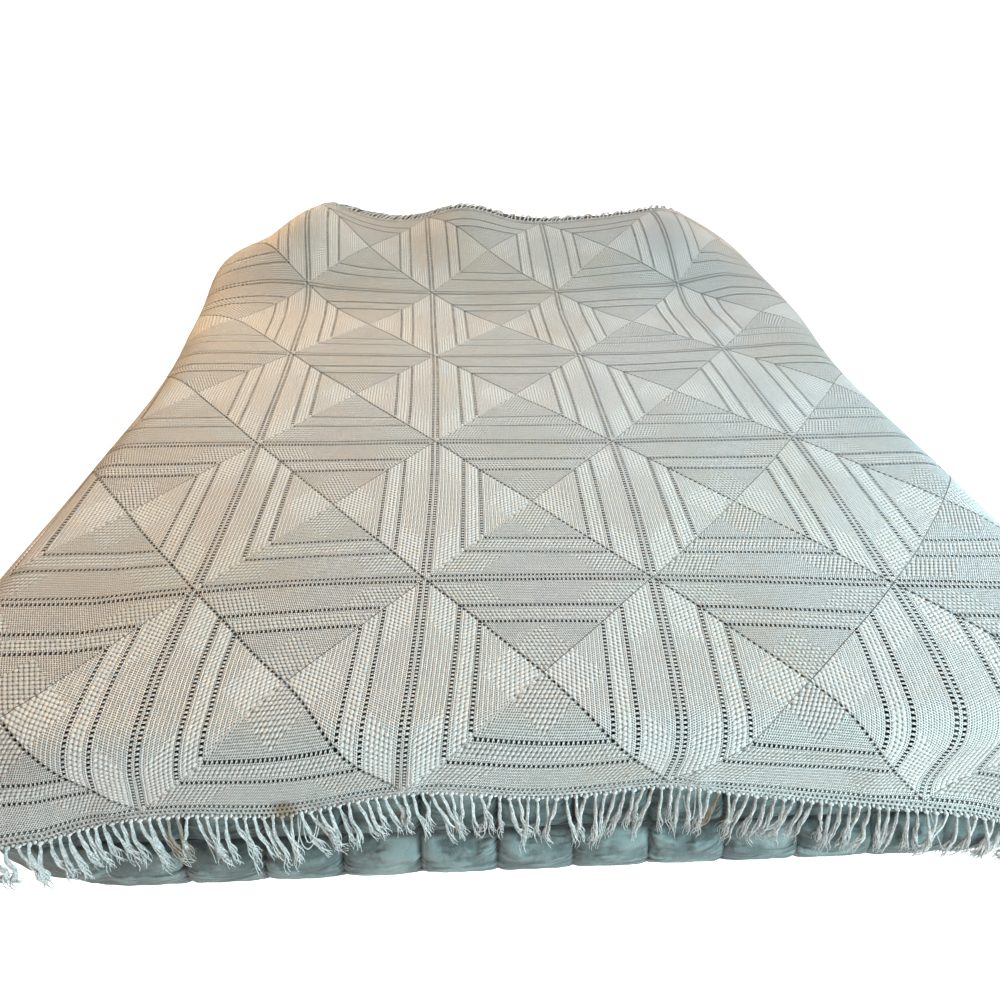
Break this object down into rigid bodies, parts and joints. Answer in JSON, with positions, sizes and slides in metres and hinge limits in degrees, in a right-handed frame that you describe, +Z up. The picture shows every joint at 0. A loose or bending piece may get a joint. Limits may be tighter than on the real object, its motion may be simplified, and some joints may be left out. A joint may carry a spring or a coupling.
{
  "type": "crochet blanket on a quilted bed",
  "caption": "Crochet blanket of large worked squares with popcorn diamonds, eyelet rounds and a knotted fringe, lying over a plain bed in a box-quilted cover.",
  "frame": {"origin": "middle of the floor under the whole part", "axes": "+Z up, +Y towards the head of the bed, +X to the right seen from its foot"},
  "size_m": [2.1464, 2.2562, 0.5214],
  "materials": {
    "crochet_cotton": "matte ecru cotton, crocheted in ribs, popcorns and eyelet rounds",
    "fringe_cotton": "matte ecru cotton yarn, limp and frayed",
    "quilted_cover": "washed sage green cotton, box quilted and wrinkled"
  },
  "bodies": {
    "root": {"bed": "quilted_cover", "square_r1_c1": "crochet_cotton", "square_r1_c2": "crochet_cotton", "square_r1_c3": "crochet_cotton", "square_r1_c4": "crochet_cotton", "square_r1_c5": "crochet_cotton", "square_r2_c1": "crochet_cotton", "square_r2_c2": "crochet_cotton", "square_r2_c3": "crochet_cotton", "square_r2_c4": "crochet_cotton", "square_r2_c5": "crochet_cotton", "square_r3_c1": "crochet_cotton", "square_r3_c2": "crochet_cotton", "square_r3_c3": "crochet_cotton", "square_r3_c4": "crochet_cotton", "square_r3_c5": "crochet_cotton", "square_r4_c1": "crochet_cotton", "square_r4_c2": "crochet_cotton", "square_r4_c3": "crochet_cotton", "square_r4_c4": "crochet_cotton", "square_r4_c5": "crochet_cotton", "square_r5_c1": "crochet_cotton", "square_r5_c2": "crochet_cotton", "square_r5_c3": "crochet_cotton", "square_r5_c4": "crochet_cotton", "square_r5_c5": "crochet_cotton", "fringe_foot": "fringe_cotton", "fringe_head": "fringe_cotton"}
  },
  "joints": []
}
